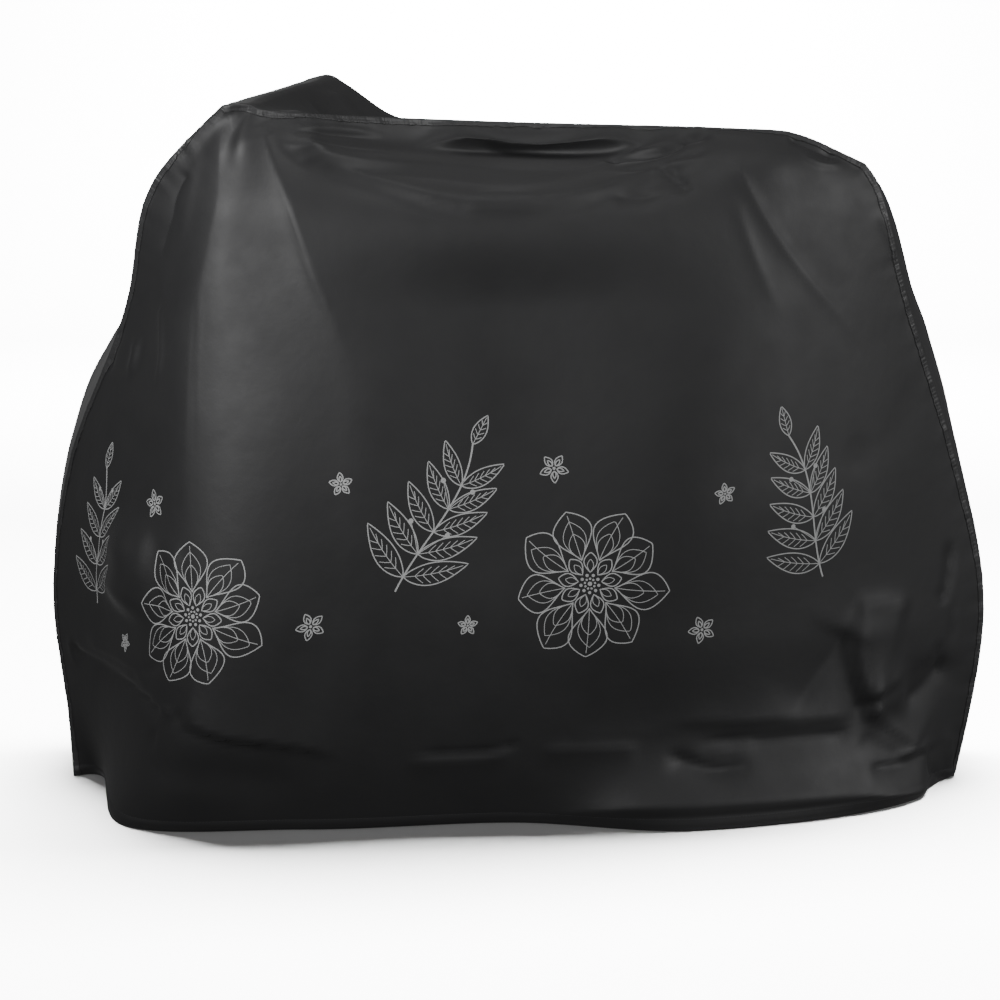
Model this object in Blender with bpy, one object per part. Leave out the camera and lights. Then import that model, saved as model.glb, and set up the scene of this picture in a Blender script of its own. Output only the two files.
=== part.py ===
"""A bicycle cover of thin film, in the shape in which it hangs over a parked bicycle.

Two side panels are joined by a gusset strip that runs from the front hem over the
handlebar and the saddle to the rear hem. The cover is hollow and open below.

X runs along the cover with the handlebar end at -X. Y runs across it, with the near
side at -Y. Z is up from the floor that the hem stands on. All sizes are metres.
"""

from collections import namedtuple

import bmesh
import bpy
import numpy as np

SHEET = 0.002  # thickness of each sheet
SEAM_GAP = 0.0003  # between the cut edges of two panels
SEAM_CALM = 0.05  # folds fade out over this width before a seam
FINEST_FOLD = 0.033  # the narrowest half of a fold that these faces can hold
PATH_STEPS = 16  # straight steps along a fold's smooth path
MITRE_LIMIT = 0.6  # keeps the wall from growing long where a seam is sharp
NEAR_SIDE, FAR_SIDE = 1, -1  # which side of a grid is outside
CENTRE = (0.0314, 0.0094, 0.0)  # middle of the whole cover's footprint in the tables below

BLACK_FILM = (0.035, 0.035, 0.038, 1.0)
FILM_ROUGHNESS = 0.38

# Levels up a panel, with the distance of each from the hem along the sheet.
LEVELS = dict(hem=0.0, flare=0.10, hub=0.34, printed=0.58, waist=0.90, shoulder=1.08, recess=1.20, top=1.28)
ROWS = (3, 5, 4, 5, 4, 6, 3)  # faces up the sheet between two levels

# Ribs from the front seam to the rear seam. Each has its distance along the panel, and
# its point (along, across, up) at each level.
Rib = namedtuple("Rib", "name at hem flare hub printed waist shoulder recess top")

NEAR_COLUMNS = (5, 7, 6, 8, 8, 7, 6)  # faces along the sheet between two ribs
NEAR_RIBS = (
    Rib("front seam", 0.00,
        (-0.776, 0.076, 0), (-0.781, 0.080, 0.10), (-0.804, 0.090, 0.34), (-0.764, 0.050, 0.58),
        (-0.632, -0.100, 0.90), (-0.591, -0.180, 1.078), (-0.525, -0.230, 1.156), (-0.450, -0.270, 1.236)),
    Rib("wheel", 0.17,
        (-0.729, 0.050, 0), (-0.723, 0.000, 0.10), (-0.705, -0.060, 0.34), (-0.680, -0.090, 0.58),
        (-0.585, -0.160, 0.90), (-0.537, -0.220, 1.083), (-0.480, -0.255, 1.179), (-0.432, -0.275, 1.238)),
    Rib("front corner", 0.36,
        (-0.659, -0.210, 0), (-0.598, -0.235, 0.10), (-0.542, -0.265, 0.34), (-0.526, -0.275, 0.58),
        (-0.504, -0.285, 0.90), (-0.463, -0.290, 1.085), (-0.437, -0.280, 1.189), (-0.410, -0.262, 1.237)),
    Rib("grip fan", 0.62,
        (-0.343, -0.242, 0), (-0.339, -0.285, 0.10), (-0.277, -0.285, 0.34), (-0.257, -0.285, 0.58),
        (-0.287, -0.275, 0.90), (-0.349, -0.268, 1.082), (-0.367, -0.250, 1.178), (-0.354, -0.200, 1.222)),
    Rib("middle", 0.93,
        (0.017, -0.203, 0), (0.017, -0.235, 0.10), (0.017, -0.268, 0.34), (0.017, -0.262, 0.58),
        (0.008, -0.222, 0.90), (0.000, -0.175, 1.062), (-0.017, -0.030, 1.143), (-0.034, 0.020, 1.190)),
    Rib("rear fan", 1.27,
        (0.355, -0.190, 0), (0.352, -0.220, 0.10), (0.346, -0.255, 0.34), (0.359, -0.252, 0.58),
        (0.390, -0.215, 0.90), (0.396, -0.170, 1.061), (0.396, -0.115, 1.141), (0.405, 0.000, 1.178)),
    Rib("rear corner", 1.53,
        (0.621, -0.062, 0), (0.635, -0.105, 0.10), (0.641, -0.150, 0.34), (0.634, -0.155, 0.58),
        (0.577, -0.140, 0.90), (0.543, -0.110, 1.055), (0.530, -0.060, 1.130), (0.515, 0.000, 1.167)),
    Rib("rear seam", 1.76,
        (0.827, 0.076, 0), (0.846, 0.070, 0.10), (0.867, 0.060, 0.34), (0.814, 0.036, 0.58),
        (0.704, -0.006, 0.90), (0.662, -0.014, 1.026), (0.639, -0.004, 1.070), (0.614, 0.002, 1.104)),
)

FAR_COLUMNS = (5, 7, 6, 3, 5, 8, 7, 6)  # as many in all as on the near panel
FAR_RIBS = (
    Rib("front seam", 0.00,
        (-0.755, 0.262, 0), (-0.762, 0.270, 0.10), (-0.782, 0.285, 0.34), (-0.745, 0.275, 0.58),
        (-0.600, 0.262, 0.90), (-0.500, 0.262, 1.080), (-0.420, 0.260, 1.175), (-0.345, 0.252, 1.248)),
    Rib("wheel", 0.12,
        (-0.660, 0.300, 0), (-0.665, 0.310, 0.10), (-0.660, 0.325, 0.34), (-0.630, 0.315, 0.58),
        (-0.520, 0.300, 0.90), (-0.440, 0.290, 1.085), (-0.375, 0.280, 1.190), (-0.325, 0.258, 1.253)),
    Rib("front corner", 0.29,
        (-0.500, 0.300, 0), (-0.500, 0.315, 0.10), (-0.480, 0.322, 0.34), (-0.450, 0.318, 0.58),
        (-0.370, 0.310, 0.90), (-0.335, 0.300, 1.090), (-0.310, 0.288, 1.195), (-0.303, 0.258, 1.254)),
    Rib("grip fan", 0.48,
        (-0.300, 0.285, 0), (-0.300, 0.300, 0.10), (-0.280, 0.310, 0.34), (-0.270, 0.308, 0.58),
        (-0.255, 0.300, 0.90), (-0.260, 0.290, 1.080), (-0.262, 0.275, 1.170), (-0.265, 0.250, 1.232)),
    Rib("behind the grip", 0.60,
        (-0.171, 0.275, 0), (-0.171, 0.289, 0.10), (-0.158, 0.300, 0.34), (-0.155, 0.297, 0.58),
        (-0.160, 0.286, 0.90), (-0.173, 0.271, 1.057), (-0.186, 0.254, 1.132), (-0.194, 0.230, 1.186)),
    Rib("middle", 0.78,
        (0.020, 0.262, 0), (0.020, 0.275, 0.10), (0.020, 0.285, 0.34), (0.020, 0.280, 0.58),
        (0.010, 0.262, 0.90), (0.000, 0.240, 1.030), (-0.020, 0.220, 1.100), (-0.030, 0.195, 1.150)),
    Rib("rear fan", 1.11,
        (0.340, 0.260, 0), (0.340, 0.270, 0.10), (0.340, 0.280, 0.34), (0.350, 0.275, 0.58),
        (0.380, 0.250, 0.90), (0.390, 0.225, 1.030), (0.400, 0.205, 1.090), (0.405, 0.180, 1.140)),
    Rib("rear corner", 1.40,
        (0.640, 0.262, 0), (0.640, 0.270, 0.10), (0.640, 0.270, 0.34), (0.620, 0.262, 0.58),
        (0.555, 0.235, 0.90), (0.530, 0.215, 1.020), (0.520, 0.200, 1.080), (0.515, 0.175, 1.130)),
    Rib("rear seam", 1.60,
        (0.800, 0.250, 0), (0.815, 0.250, 0.10), (0.845, 0.245, 0.34), (0.800, 0.230, 0.58),
        (0.700, 0.185, 0.90), (0.660, 0.170, 0.990), (0.640, 0.165, 1.030), (0.615, 0.160, 1.065)),
)

# Folds of a panel, each along a path of (along, up) points as seen from the side. The
# height is positive outwards. The two widths are those on the left and the right of the
# path, and a narrow one makes a sharp edge there. The fades are the shares of the path's
# length over which the fold starts and ends.
Fold = namedtuple("Fold", "name height left right fade_in fade_out path")
NEAR_FOLDS = (
    # The fan that hangs from the grip, and the tucked end beside it.
    Fold("corner ridge", 0.016, 0.050, 0.020, 0.05, 0.40,
         ((-0.449, 1.190), (-0.465, 1.050), (-0.498, 0.870), (-0.519, 0.580), (-0.524, 0.460))),
    Fold("fan hollow", -0.010, 0.030, 0.030, 0.20, 0.50, ((-0.421, 1.166), (-0.411, 1.033), (-0.391, 0.889))),
    Fold("fan edge", 0.022, 0.020, 0.040, 0.08, 0.40,
         ((-0.394, 1.199), (-0.361, 1.110), (-0.321, 0.986), (-0.270, 0.860))),
    Fold("beside the fan", -0.020, 0.035, 0.025, 0.10, 0.40,
         ((-0.371, 1.170), (-0.333, 1.081), (-0.296, 0.978), (-0.245, 0.840))),
    Fold("end crease", -0.018, 0.018, 0.022, 0.10, 0.50,
         ((-0.477, 1.151), (-0.490, 1.099), (-0.504, 0.987), (-0.516, 0.868))),
    Fold("end fold", 0.014, 0.022, 0.024, 0.15, 0.40,
         ((-0.494, 1.139), (-0.521, 1.070), (-0.550, 0.978), (-0.567, 0.878))),
    # The swags between the grip and the saddle.
    Fold("upper swag", 0.024, 0.020, 0.022, 0.15, 0.35,
         ((-0.352, 1.200), (-0.278, 1.157), (-0.199, 1.137), (-0.074, 1.120), (0.087, 1.114), (0.171, 1.109))),
    Fold("lower swag", 0.032, 0.022, 0.024, 0.10, 0.12,
         ((-0.366, 1.186), (-0.314, 1.138), (-0.197, 1.100), (-0.062, 1.068), (0.059, 1.064),
          (0.129, 1.078), (0.217, 1.102), (0.311, 1.129), (0.365, 1.149))),
    Fold("between the swags", -0.016, 0.020, 0.020, 0.25, 0.25,
         ((-0.282, 1.143), (-0.169, 1.112), (-0.036, 1.092), (0.100, 1.091), (0.198, 1.112))),
    Fold("recess", -0.034, 0.020, 0.020, 0.20, 0.25,
         ((-0.205, 1.169), (-0.105, 1.148), (0.035, 1.139), (0.157, 1.135), (0.241, 1.147), (0.305, 1.160))),
    # The fan that hangs from the rear of the saddle.
    Fold("rear fan ridge", 0.026, 0.022, 0.032, 0.06, 0.45,
         ((0.400, 1.127), (0.444, 1.060), (0.506, 0.956), (0.590, 0.840), (0.659, 0.755))),
    Fold("rear inner ridge", 0.012, 0.022, 0.024, 0.10, 0.50, ((0.400, 1.097), (0.419, 0.985), (0.465, 0.890))),
    Fold("rear inner hollow", -0.012, 0.020, 0.020, 0.20, 0.50, ((0.415, 1.064), (0.458, 0.977), (0.510, 0.880))),
    Fold("rear outer hollow", -0.018, 0.026, 0.024, 0.15, 0.40,
         ((0.450, 1.086), (0.503, 1.004), (0.561, 0.900), (0.632, 0.809))),
    # The slack cloth that breaks over the lower band.
    Fold("wheel pocket", -0.026, 0.022, 0.020, 0.10, 0.25,
         ((-0.733, 0.252), (-0.694, 0.244), (-0.652, 0.236), (-0.593, 0.212), (-0.560, 0.200))),
    Fold("wheel swell", 0.016, 0.060, 0.060, 0.40, 0.30, ((-0.640, 0.480), (-0.645, 0.380), (-0.640, 0.300))),
    Fold("lower edge", 0.030, 0.055, 0.016, 0.20, 0.30,
         ((-0.585, 0.178), (-0.525, 0.200), (-0.439, 0.172), (-0.338, 0.148), (-0.199, 0.125))),
    Fold("middle light edge", 0.012, 0.030, 0.018, 0.25, 0.25,
         ((-0.166, 0.132), (-0.099, 0.132), (-0.018, 0.140), (0.100, 0.156), (0.237, 0.156))),
    Fold("rear crease", -0.022, 0.030, 0.016, 0.20, 0.20,
         ((0.343, 0.160), (0.454, 0.160), (0.546, 0.158), (0.625, 0.150))),
    Fold("rear lip", 0.022, 0.016, 0.040, 0.20, 0.20,
         ((0.320, 0.128), (0.454, 0.130), (0.545, 0.122), (0.640, 0.118))),
    Fold("rear dent", -0.020, 0.018, 0.018, 0.25, 0.20, ((0.640, 0.082), (0.700, 0.066), (0.776, 0.068))),
    # The box-like break above the rear hem.
    Fold("box top", 0.022, 0.014, 0.035, 0.25, 0.30, ((0.600, 0.388), (0.650, 0.392), (0.700, 0.378))),
    Fold("box side", -0.018, 0.022, 0.018, 0.10, 0.25,
         ((0.606, 0.375), (0.610, 0.276), (0.626, 0.204), (0.646, 0.172))),
    Fold("box diagonal", -0.028, 0.026, 0.022, 0.15, 0.20,
         ((0.775, 0.385), (0.737, 0.324), (0.699, 0.284), (0.662, 0.216))),
    Fold("slope beside the box", -0.020, 0.032, 0.032, 0.20, 0.30, ((0.600, 0.345), (0.538, 0.268), (0.480, 0.200))),
    Fold("rear triangle", 0.018, 0.026, 0.026, 0.20, 0.25, ((0.775, 0.250), (0.732, 0.200), (0.665, 0.176))),
    Fold("rear tuck", -0.016, 0.016, 0.016, 0.20, 0.30, ((0.820, 0.560), (0.799, 0.420), (0.788, 0.340))),
)
FAR_FOLDS = (
    Fold("front fan ridge", 0.020, 0.034, 0.030, 0.10, 0.50, ((-0.330, 1.200), (-0.420, 0.950), (-0.470, 0.600))),
    Fold("fan hollow", -0.017, 0.030, 0.030, 0.20, 0.60, ((-0.292, 1.180), (-0.300, 0.950), (-0.330, 0.640))),
    Fold("rear fan ridge", 0.021, 0.030, 0.036, 0.10, 0.55, ((-0.262, 1.190), (-0.200, 0.980), (-0.130, 0.770))),
    Fold("swag", 0.028, 0.026, 0.030, 0.25, 0.25,
         ((-0.240, 1.140), (-0.120, 1.050), (0.060, 1.015), (0.240, 1.030), (0.380, 1.090))),
    Fold("recess", -0.026, 0.026, 0.026, 0.30, 0.30, ((-0.170, 1.120), (0.060, 1.070), (0.300, 1.095))),
    Fold("saddle ridge", 0.022, 0.026, 0.034, 0.08, 0.50, ((0.410, 1.090), (0.490, 0.900), (0.610, 0.690))),
    Fold("saddle hollow", -0.015, 0.028, 0.028, 0.20, 0.50, ((0.380, 1.050), (0.420, 0.880), (0.480, 0.700))),
    Fold("front wheel swell", 0.014, 0.070, 0.060, 0.40, 0.40, ((-0.560, 0.520), (-0.580, 0.340), (-0.560, 0.180))),
    Fold("rear wheel swell", 0.012, 0.080, 0.080, 0.40, 0.40, ((0.600, 0.520), (0.620, 0.340), (0.600, 0.180))),
    Fold("lower break", -0.022, 0.022, 0.040, 0.20, 0.25,
         ((-0.480, 0.170), (-0.300, 0.130), (-0.080, 0.140), (0.120, 0.115))),
    Fold("lower lip", 0.020, 0.040, 0.022, 0.25, 0.25, ((0.180, 0.130), (0.380, 0.160), (0.600, 0.130))),
    Fold("hem wave", 0.014, 0.050, 0.050, 0.30, 0.60, ((-0.180, -0.060), (-0.170, 0.100), (-0.150, 0.260))),
    Fold("second hem wave", -0.014, 0.050, 0.060, 0.30, 0.60, ((0.330, -0.060), (0.320, 0.090), (0.300, 0.220))),
)

# How far the middle of the gusset stands out between its seams, by the share of its
# length passed from the front hem over to the rear hem.
Swell = namedtuple("Swell", "name at height")
GUSSET_SWELLS = (
    Swell("front hem", 0.00, 0.004),
    Swell("front wheel", 0.10, 0.016),
    Swell("above the wheel", 0.21, 0.022),
    Swell("below the bar", 0.31, -0.020),
    Swell("handlebar", 0.385, -0.004),
    Swell("behind the bar", 0.43, -0.030),
    Swell("first top fold", 0.47, -0.016),
    Swell("top hollow", 0.52, -0.034),
    Swell("saddle nose", 0.58, -0.012),
    Swell("saddle hollow", 0.63, -0.022),
    Swell("rear rack", 0.68, 0.018),
    Swell("rear slope", 0.76, 0.021),
    Swell("rear wheel", 0.90, 0.016),
    Swell("rear hem", 1.00, 0.004),
)
STRIP = 5  # faces across the gusset


def smooth(knots, values, places):
    """The values at the given places on a smooth curve through the knots."""
    knots, values = np.asarray(knots, float), np.asarray(values, float)
    flat = values.reshape(len(knots), -1)
    steps = np.diff(knots)[:, None]
    slopes = np.diff(flat, axis=0) / steps
    tangents = np.vstack([slopes[:1], slopes, slopes[-1:]])[:-1]
    tangents[1:-1] = (slopes[:-1] * steps[1:] + slopes[1:] * steps[:-1]) / (steps[:-1] + steps[1:])
    tangents[-1] = slopes[-1]
    cell = np.clip(np.searchsorted(knots, places, side="right") - 1, 0, len(knots) - 2)
    step = steps[cell]
    share = ((places - knots[cell]) / steps[cell, 0])[:, None]
    start = (2 * share**3 - 3 * share**2 + 1) * flat[cell]
    leave = (share**3 - 2 * share**2 + share) * step * tangents[cell]
    end = (3 * share**2 - 2 * share**3) * flat[cell + 1]
    arrive = (share**3 - share**2) * step * tangents[cell + 1]
    return (start + leave + end + arrive).reshape((len(places),) + values.shape[1:])


def stations(knots, counts):
    """Places from knot to knot, with the given number of steps in each gap."""
    gaps = [np.linspace(a, b, n, endpoint=False) for a, b, n in zip(knots, knots[1:], counts)]
    return np.concatenate(gaps + [[knots[-1]]])


def draped(ribs, columns):
    """The panel's main form: a grid of points, [row up the sheet, column along it]."""
    heights = list(LEVELS.values())
    points = np.array([[getattr(rib, level) for rib in ribs] for level in LEVELS], float)
    rows = smooth(heights, points, stations(heights, ROWS))
    along = [rib.at for rib in ribs]
    grid = smooth(along, rows.transpose(1, 0, 2), stations(along, columns))
    return grid.transpose(1, 0, 2)


def outward(grid, side):
    """Unit normals of a grid, turned to the side that is outside."""
    along = np.gradient(grid, axis=1)
    up = np.gradient(grid, axis=0)
    normal = side * np.cross(along, up)
    return normal / np.linalg.norm(normal, axis=2, keepdims=True)


def measured(path, points):
    """How far points are from a smooth path, whether on its left, and the share passed."""
    bends = np.asarray(path, float)
    lengths = np.append(0, np.cumsum(np.linalg.norm(np.diff(bends, axis=0), axis=1)))
    line = smooth(lengths, bends, np.linspace(0, lengths[-1], PATH_STEPS + 1))
    distance = np.full(points.shape[:2], np.inf)
    on_left, share = np.zeros(points.shape[:2], bool), np.zeros(points.shape[:2])
    for step, (start, end) in enumerate(zip(line, line[1:])):
        run = end - start
        passed = np.clip((points - start) @ run / (run @ run), 0, 1)
        away = points - start - passed[..., None] * run
        reach = np.linalg.norm(away, axis=2)
        nearer = reach < distance
        distance = np.where(nearer, reach, distance)
        on_left = np.where(nearer, run[0] * away[..., 1] > run[1] * away[..., 0], on_left)
        share = np.where(nearer, (step + passed) / PATH_STEPS, share)
    return distance, on_left, share


def ease(share):
    """0 to 1 with a soft start and end."""
    share = np.clip(share, 0, 1)
    return share * share * (3 - 2 * share)


def fold_heights(folds, grid):
    """How far the folds move each point of a grid outwards."""
    seen = grid[..., [0, 2]]
    height = np.zeros(grid.shape[:2])
    for fold in folds:
        distance, on_left, share = measured(fold.path, seen)
        width = np.where(on_left, max(fold.left, FINEST_FOLD), max(fold.right, FINEST_FOLD))
        fade = ease(share / fold.fade_in) * ease((1 - share) / fold.fade_out)
        height += fold.height * fade * np.exp(-((distance / width) ** 2))
    return height


def seam_places(grid):
    """Rows and columns of a panel's sewn edge, from the front hem over to the rear hem."""
    top, rear = grid.shape[0] - 1, grid.shape[1] - 1
    rows = np.concatenate([np.arange(top), np.full(rear, top), np.arange(top, -1, -1)])
    columns = np.concatenate([np.zeros(top, int), np.arange(rear), np.full(top + 1, rear)])
    return rows, columns


def calm_near_seam(grid):
    """0 on the sewn edge of a panel, rising to 1 where folds are free."""
    rows, columns = seam_places(grid)
    edge = grid[rows, columns]
    reach = np.linalg.norm(grid[:, :, None] - edge, axis=3).min(axis=2)
    return ease(reach / SEAM_CALM)


def folded(ribs, columns, folds, side):
    """A panel's grid with its folds."""
    grid = draped(ribs, columns)
    height = fold_heights(folds, grid) * calm_near_seam(grid)
    grid = grid + height[..., None] * outward(grid, side)
    grid[0, :, 2] = 0
    return grid


def strip_between(near_edge, far_edge):
    """The gusset's grid, [row from the near seam to the far one, column along it]."""
    shares = np.linspace(0, 1, STRIP + 1)[:, None, None]
    flat = near_edge * (1 - shares) + far_edge * shares
    steps = np.linalg.norm(np.diff((near_edge + far_edge) / 2, axis=0), axis=1)
    passed = np.append(0, np.cumsum(steps)) / steps.sum()
    middle = smooth([swell.at for swell in GUSSET_SWELLS], [swell.height for swell in GUSSET_SWELLS], passed)
    arch = 4 * shares * (1 - shares) * middle[None, :, None]
    grid = flat + arch * outward(flat, NEAR_SIDE)
    grid[:, [0, -1], 2] = 0
    return grid


def wall(grid, side):
    """The step from each outer point to the inner one behind it, level at the floor."""
    inward = -SHEET * outward(grid, side)
    on_floor = grid[..., 2] == 0
    inward[on_floor, 2] = 0
    return inward


def unit(vectors):
    return vectors / np.linalg.norm(vectors, axis=-1, keepdims=True)


def mitre(edge, panel_wall, strip_wall, into_strip):
    """The shared wall step along a seam, and half the gap on the strip's side."""
    along = unit(np.gradient(edge, axis=0))
    middle = unit(panel_wall) + unit(strip_wall)
    middle -= (middle * along).sum(axis=1, keepdims=True) * along
    middle[[0, -1], 2] = 0
    middle = unit(middle)
    spread = np.maximum((middle * unit(panel_wall)).sum(axis=1), MITRE_LIMIT)[:, None]
    across = unit(np.cross(along, middle))
    across *= np.sign((across * into_strip).sum(axis=1, keepdims=True))
    across[[0, -1], 2] = 0
    return middle * SHEET / spread, across * SEAM_GAP / 2


def join(panel, panel_wall, strip, strip_wall, strip_row, next_row):
    """Gives a panel and the gusset one mitred wall along their seam, a gap apart."""
    places = seam_places(panel)
    edge = panel[places]
    step, gap = mitre(edge, panel_wall[places], strip_wall[strip_row], strip[next_row] - edge)
    panel[places], panel_wall[places] = edge - gap, step
    strip[strip_row], strip_wall[strip_row] = edge + gap, step


def faces_of(rows, columns):
    """Triangles of a closed sheet: outer grid, inner grid and the rim round both."""
    place = np.arange(rows * columns).reshape(rows, columns)
    a, b, c, d = (part.ravel() for part in (place[:-1, :-1], place[:-1, 1:], place[1:, 1:], place[1:, :-1]))
    outer = np.concatenate([np.stack([a, b, c], 1), np.stack([a, c, d], 1)])
    rim = np.concatenate([place[0, :-1], place[:-1, -1], place[-1, :0:-1], place[:0:-1, 0]])
    after = np.roll(rim, -1)
    behind = rows * columns
    sides = [np.stack([after, rim, rim + behind], 1), np.stack([after, rim + behind, after + behind], 1)]
    return np.concatenate([outer, outer[:, ::-1] + behind] + sides)


def film(name):
    material = bpy.data.materials.new(name)
    material.use_nodes = True
    finish = material.node_tree.nodes["Principled BSDF"].inputs
    finish["Base Color"].default_value = BLACK_FILM
    finish["Roughness"].default_value = FILM_ROUGHNESS
    finish["Metallic"].default_value = 0.0
    return material


def sheet_object(name, grid, inward):
    points = np.concatenate([grid.reshape(-1, 3), (grid + inward).reshape(-1, 3)]) - CENTRE
    mesh = bpy.data.meshes.new(name)
    mesh.from_pydata(points.tolist(), [], faces_of(*grid.shape[:2]).tolist())
    shell = bmesh.new()
    shell.from_mesh(mesh)
    bmesh.ops.recalc_face_normals(shell, faces=shell.faces)
    shell.to_mesh(mesh)
    shell.free()
    mesh.shade_smooth()
    mesh.materials.append(film(name + " film"))
    piece = bpy.data.objects.new(name, mesh)
    bpy.context.scene.collection.objects.link(piece)


def clear_scene():
    for item in list(bpy.data.objects):
        bpy.data.objects.remove(item, do_unlink=True)


def make_cover():
    near = folded(NEAR_RIBS, NEAR_COLUMNS, NEAR_FOLDS, NEAR_SIDE)
    far = folded(FAR_RIBS, FAR_COLUMNS, FAR_FOLDS, FAR_SIDE)
    strip = strip_between(near[seam_places(near)], far[seam_places(far)])
    near_wall, far_wall = wall(near, NEAR_SIDE), wall(far, FAR_SIDE)
    strip_wall = wall(strip, NEAR_SIDE)
    join(near, near_wall, strip, strip_wall, 0, 1)
    join(far, far_wall, strip, strip_wall, STRIP, STRIP - 1)
    sheet_object("side_panel_near", near, near_wall)
    sheet_object("side_panel_far", far, far_wall)
    sheet_object("gusset", strip, strip_wall)


clear_scene()
make_cover()
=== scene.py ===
import math
from collections import namedtuple

import bpy
import numpy as np
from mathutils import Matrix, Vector
from mathutils.bvhtree import BVHTree


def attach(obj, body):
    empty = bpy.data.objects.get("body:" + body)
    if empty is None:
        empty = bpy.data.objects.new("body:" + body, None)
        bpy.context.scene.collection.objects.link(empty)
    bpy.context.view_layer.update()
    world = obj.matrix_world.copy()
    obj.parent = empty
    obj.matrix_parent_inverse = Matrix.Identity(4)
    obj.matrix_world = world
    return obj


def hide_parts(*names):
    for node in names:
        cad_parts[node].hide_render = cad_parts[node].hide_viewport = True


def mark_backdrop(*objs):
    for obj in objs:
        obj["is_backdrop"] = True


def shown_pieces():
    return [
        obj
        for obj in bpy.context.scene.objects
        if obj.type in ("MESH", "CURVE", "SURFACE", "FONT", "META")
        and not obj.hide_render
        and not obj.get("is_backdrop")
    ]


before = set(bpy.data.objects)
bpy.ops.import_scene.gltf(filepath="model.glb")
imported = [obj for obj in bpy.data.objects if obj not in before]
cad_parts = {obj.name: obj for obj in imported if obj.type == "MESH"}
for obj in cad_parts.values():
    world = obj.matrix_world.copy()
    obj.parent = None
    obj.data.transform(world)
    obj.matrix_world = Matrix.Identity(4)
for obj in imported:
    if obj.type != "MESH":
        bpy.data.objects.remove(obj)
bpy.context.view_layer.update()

# Camera. It stands 5 m in front of the near side panel, a little above the cover's top,
# and looks down on it by 11.5 degrees.
CAMERA_PLACE = (-0.031, -5.009, 1.55)
CAMERA_DOWN = 11.55
LENS = 104.4
SENSOR = 36


def placed(name, data):
    """A new object in the scene, at the origin."""
    piece = bpy.data.objects.new(name, data)
    bpy.context.scene.collection.objects.link(piece)
    return piece


camera = placed("camera", bpy.data.cameras.new("camera"))
camera.data.lens, camera.data.sensor_width = LENS, SENSOR
camera.location = CAMERA_PLACE
camera.rotation_euler = (math.radians(90 - CAMERA_DOWN), 0, 0)
bpy.context.scene.camera = camera


# Near side panel. It is the large piece of black film that hangs from the handlebar's
# near grip and from the saddle. It is cut with a straight hem and a curved upper edge,
# and the row of light figures is printed on it before the cover is sewn.
FILM = 0.0012  # thickness of the sheet as it shows at the hem
FOOT = np.array((0.0314, 0.0094, 0.0))  # middle of the cover's footprint in the tables
NEAR_SIDE, FAR_SIDE = 1, -1
MM = 1000  # the tables are in millimetres
PER_CENT = 100

LEVELS = dict(
    hem=0, flare=100, hub=340, printed=580, waist=900, shoulder=1080, recess=1200, top=1280)
LEVEL_FACES = (16, 28, 20, 28, 24, 46, 18)  # faces up the sheet between two levels
NEAR_RIB_FACES = (26, 36, 34, 42, 40, 34, 26)  # faces along the sheet between two ribs
HEM_ROWS = np.array((3, 9, 15, 18.5, 20.5, 22.5)) / MM  # heights of extra rows of faces
SEAM_ROWS = np.array((1.5, 3, 5, 8, 12)) / MM  # distances of extra rows from a seam

# A rib is a line down the panel: its distance from the front seam, and its place (along,
# across) at each level, with its height where that isn't the level's own.
Rib = namedtuple("Rib", "name at hem flare hub printed waist shoulder recess top")
near_ribs = [Rib(*row) for row in (
    ("front seam", 0, (-776, 76), (-781, 80), (-804, 90), (-764, 50), (-632, -100),
     (-588, -180, 1078), (-531, -230, 1158), (-450, -270, 1236)),
    ("wheel", 170, (-722, 62), (-720, 0), (-705, -60), (-680, -90), (-585, -160),
     (-537, -220, 1083), (-480, -255, 1179), (-432, -275, 1238)),
    ("front corner", 360, (-659, -210), (-598, -251), (-542, -289), (-526, -281), (-504, -267),
     (-463, -272, 1085), (-437, -275, 1189), (-410, -262, 1237)),
    ("grip fan", 620, (-343, -242), (-339, -273), (-277, -305), (-257, -311), (-287, -298),
     (-349, -286, 1082), (-367, -265, 1178), (-354, -230, 1222)),
    ("middle", 930, (17, -203), (17, -234), (17, -267), (17, -253), (8, -236), (0, -216, 1072),
     (6, 18, 1130), (-34, 20, 1190)),
    ("rear fan", 1270, (355, -245), (352, -198), (346, -225), (359, -243), (390, -200),
     (396, -140, 1061), (396, -80, 1140), (405, 0, 1178)),
    ("rear corner", 1530, (664, -126), (640, -99), (641, -95), (634, -108), (577, -105),
     (543, -82, 1055), (530, -48, 1130), (515, 0, 1167)),
    ("rear seam", 1760, (827, 76), (846, 70), (867, 60), (809, 36), (702, -6), (668, -14, 1030),
     (650, -4, 1082), (628, 2, 1118)),
)]

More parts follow.
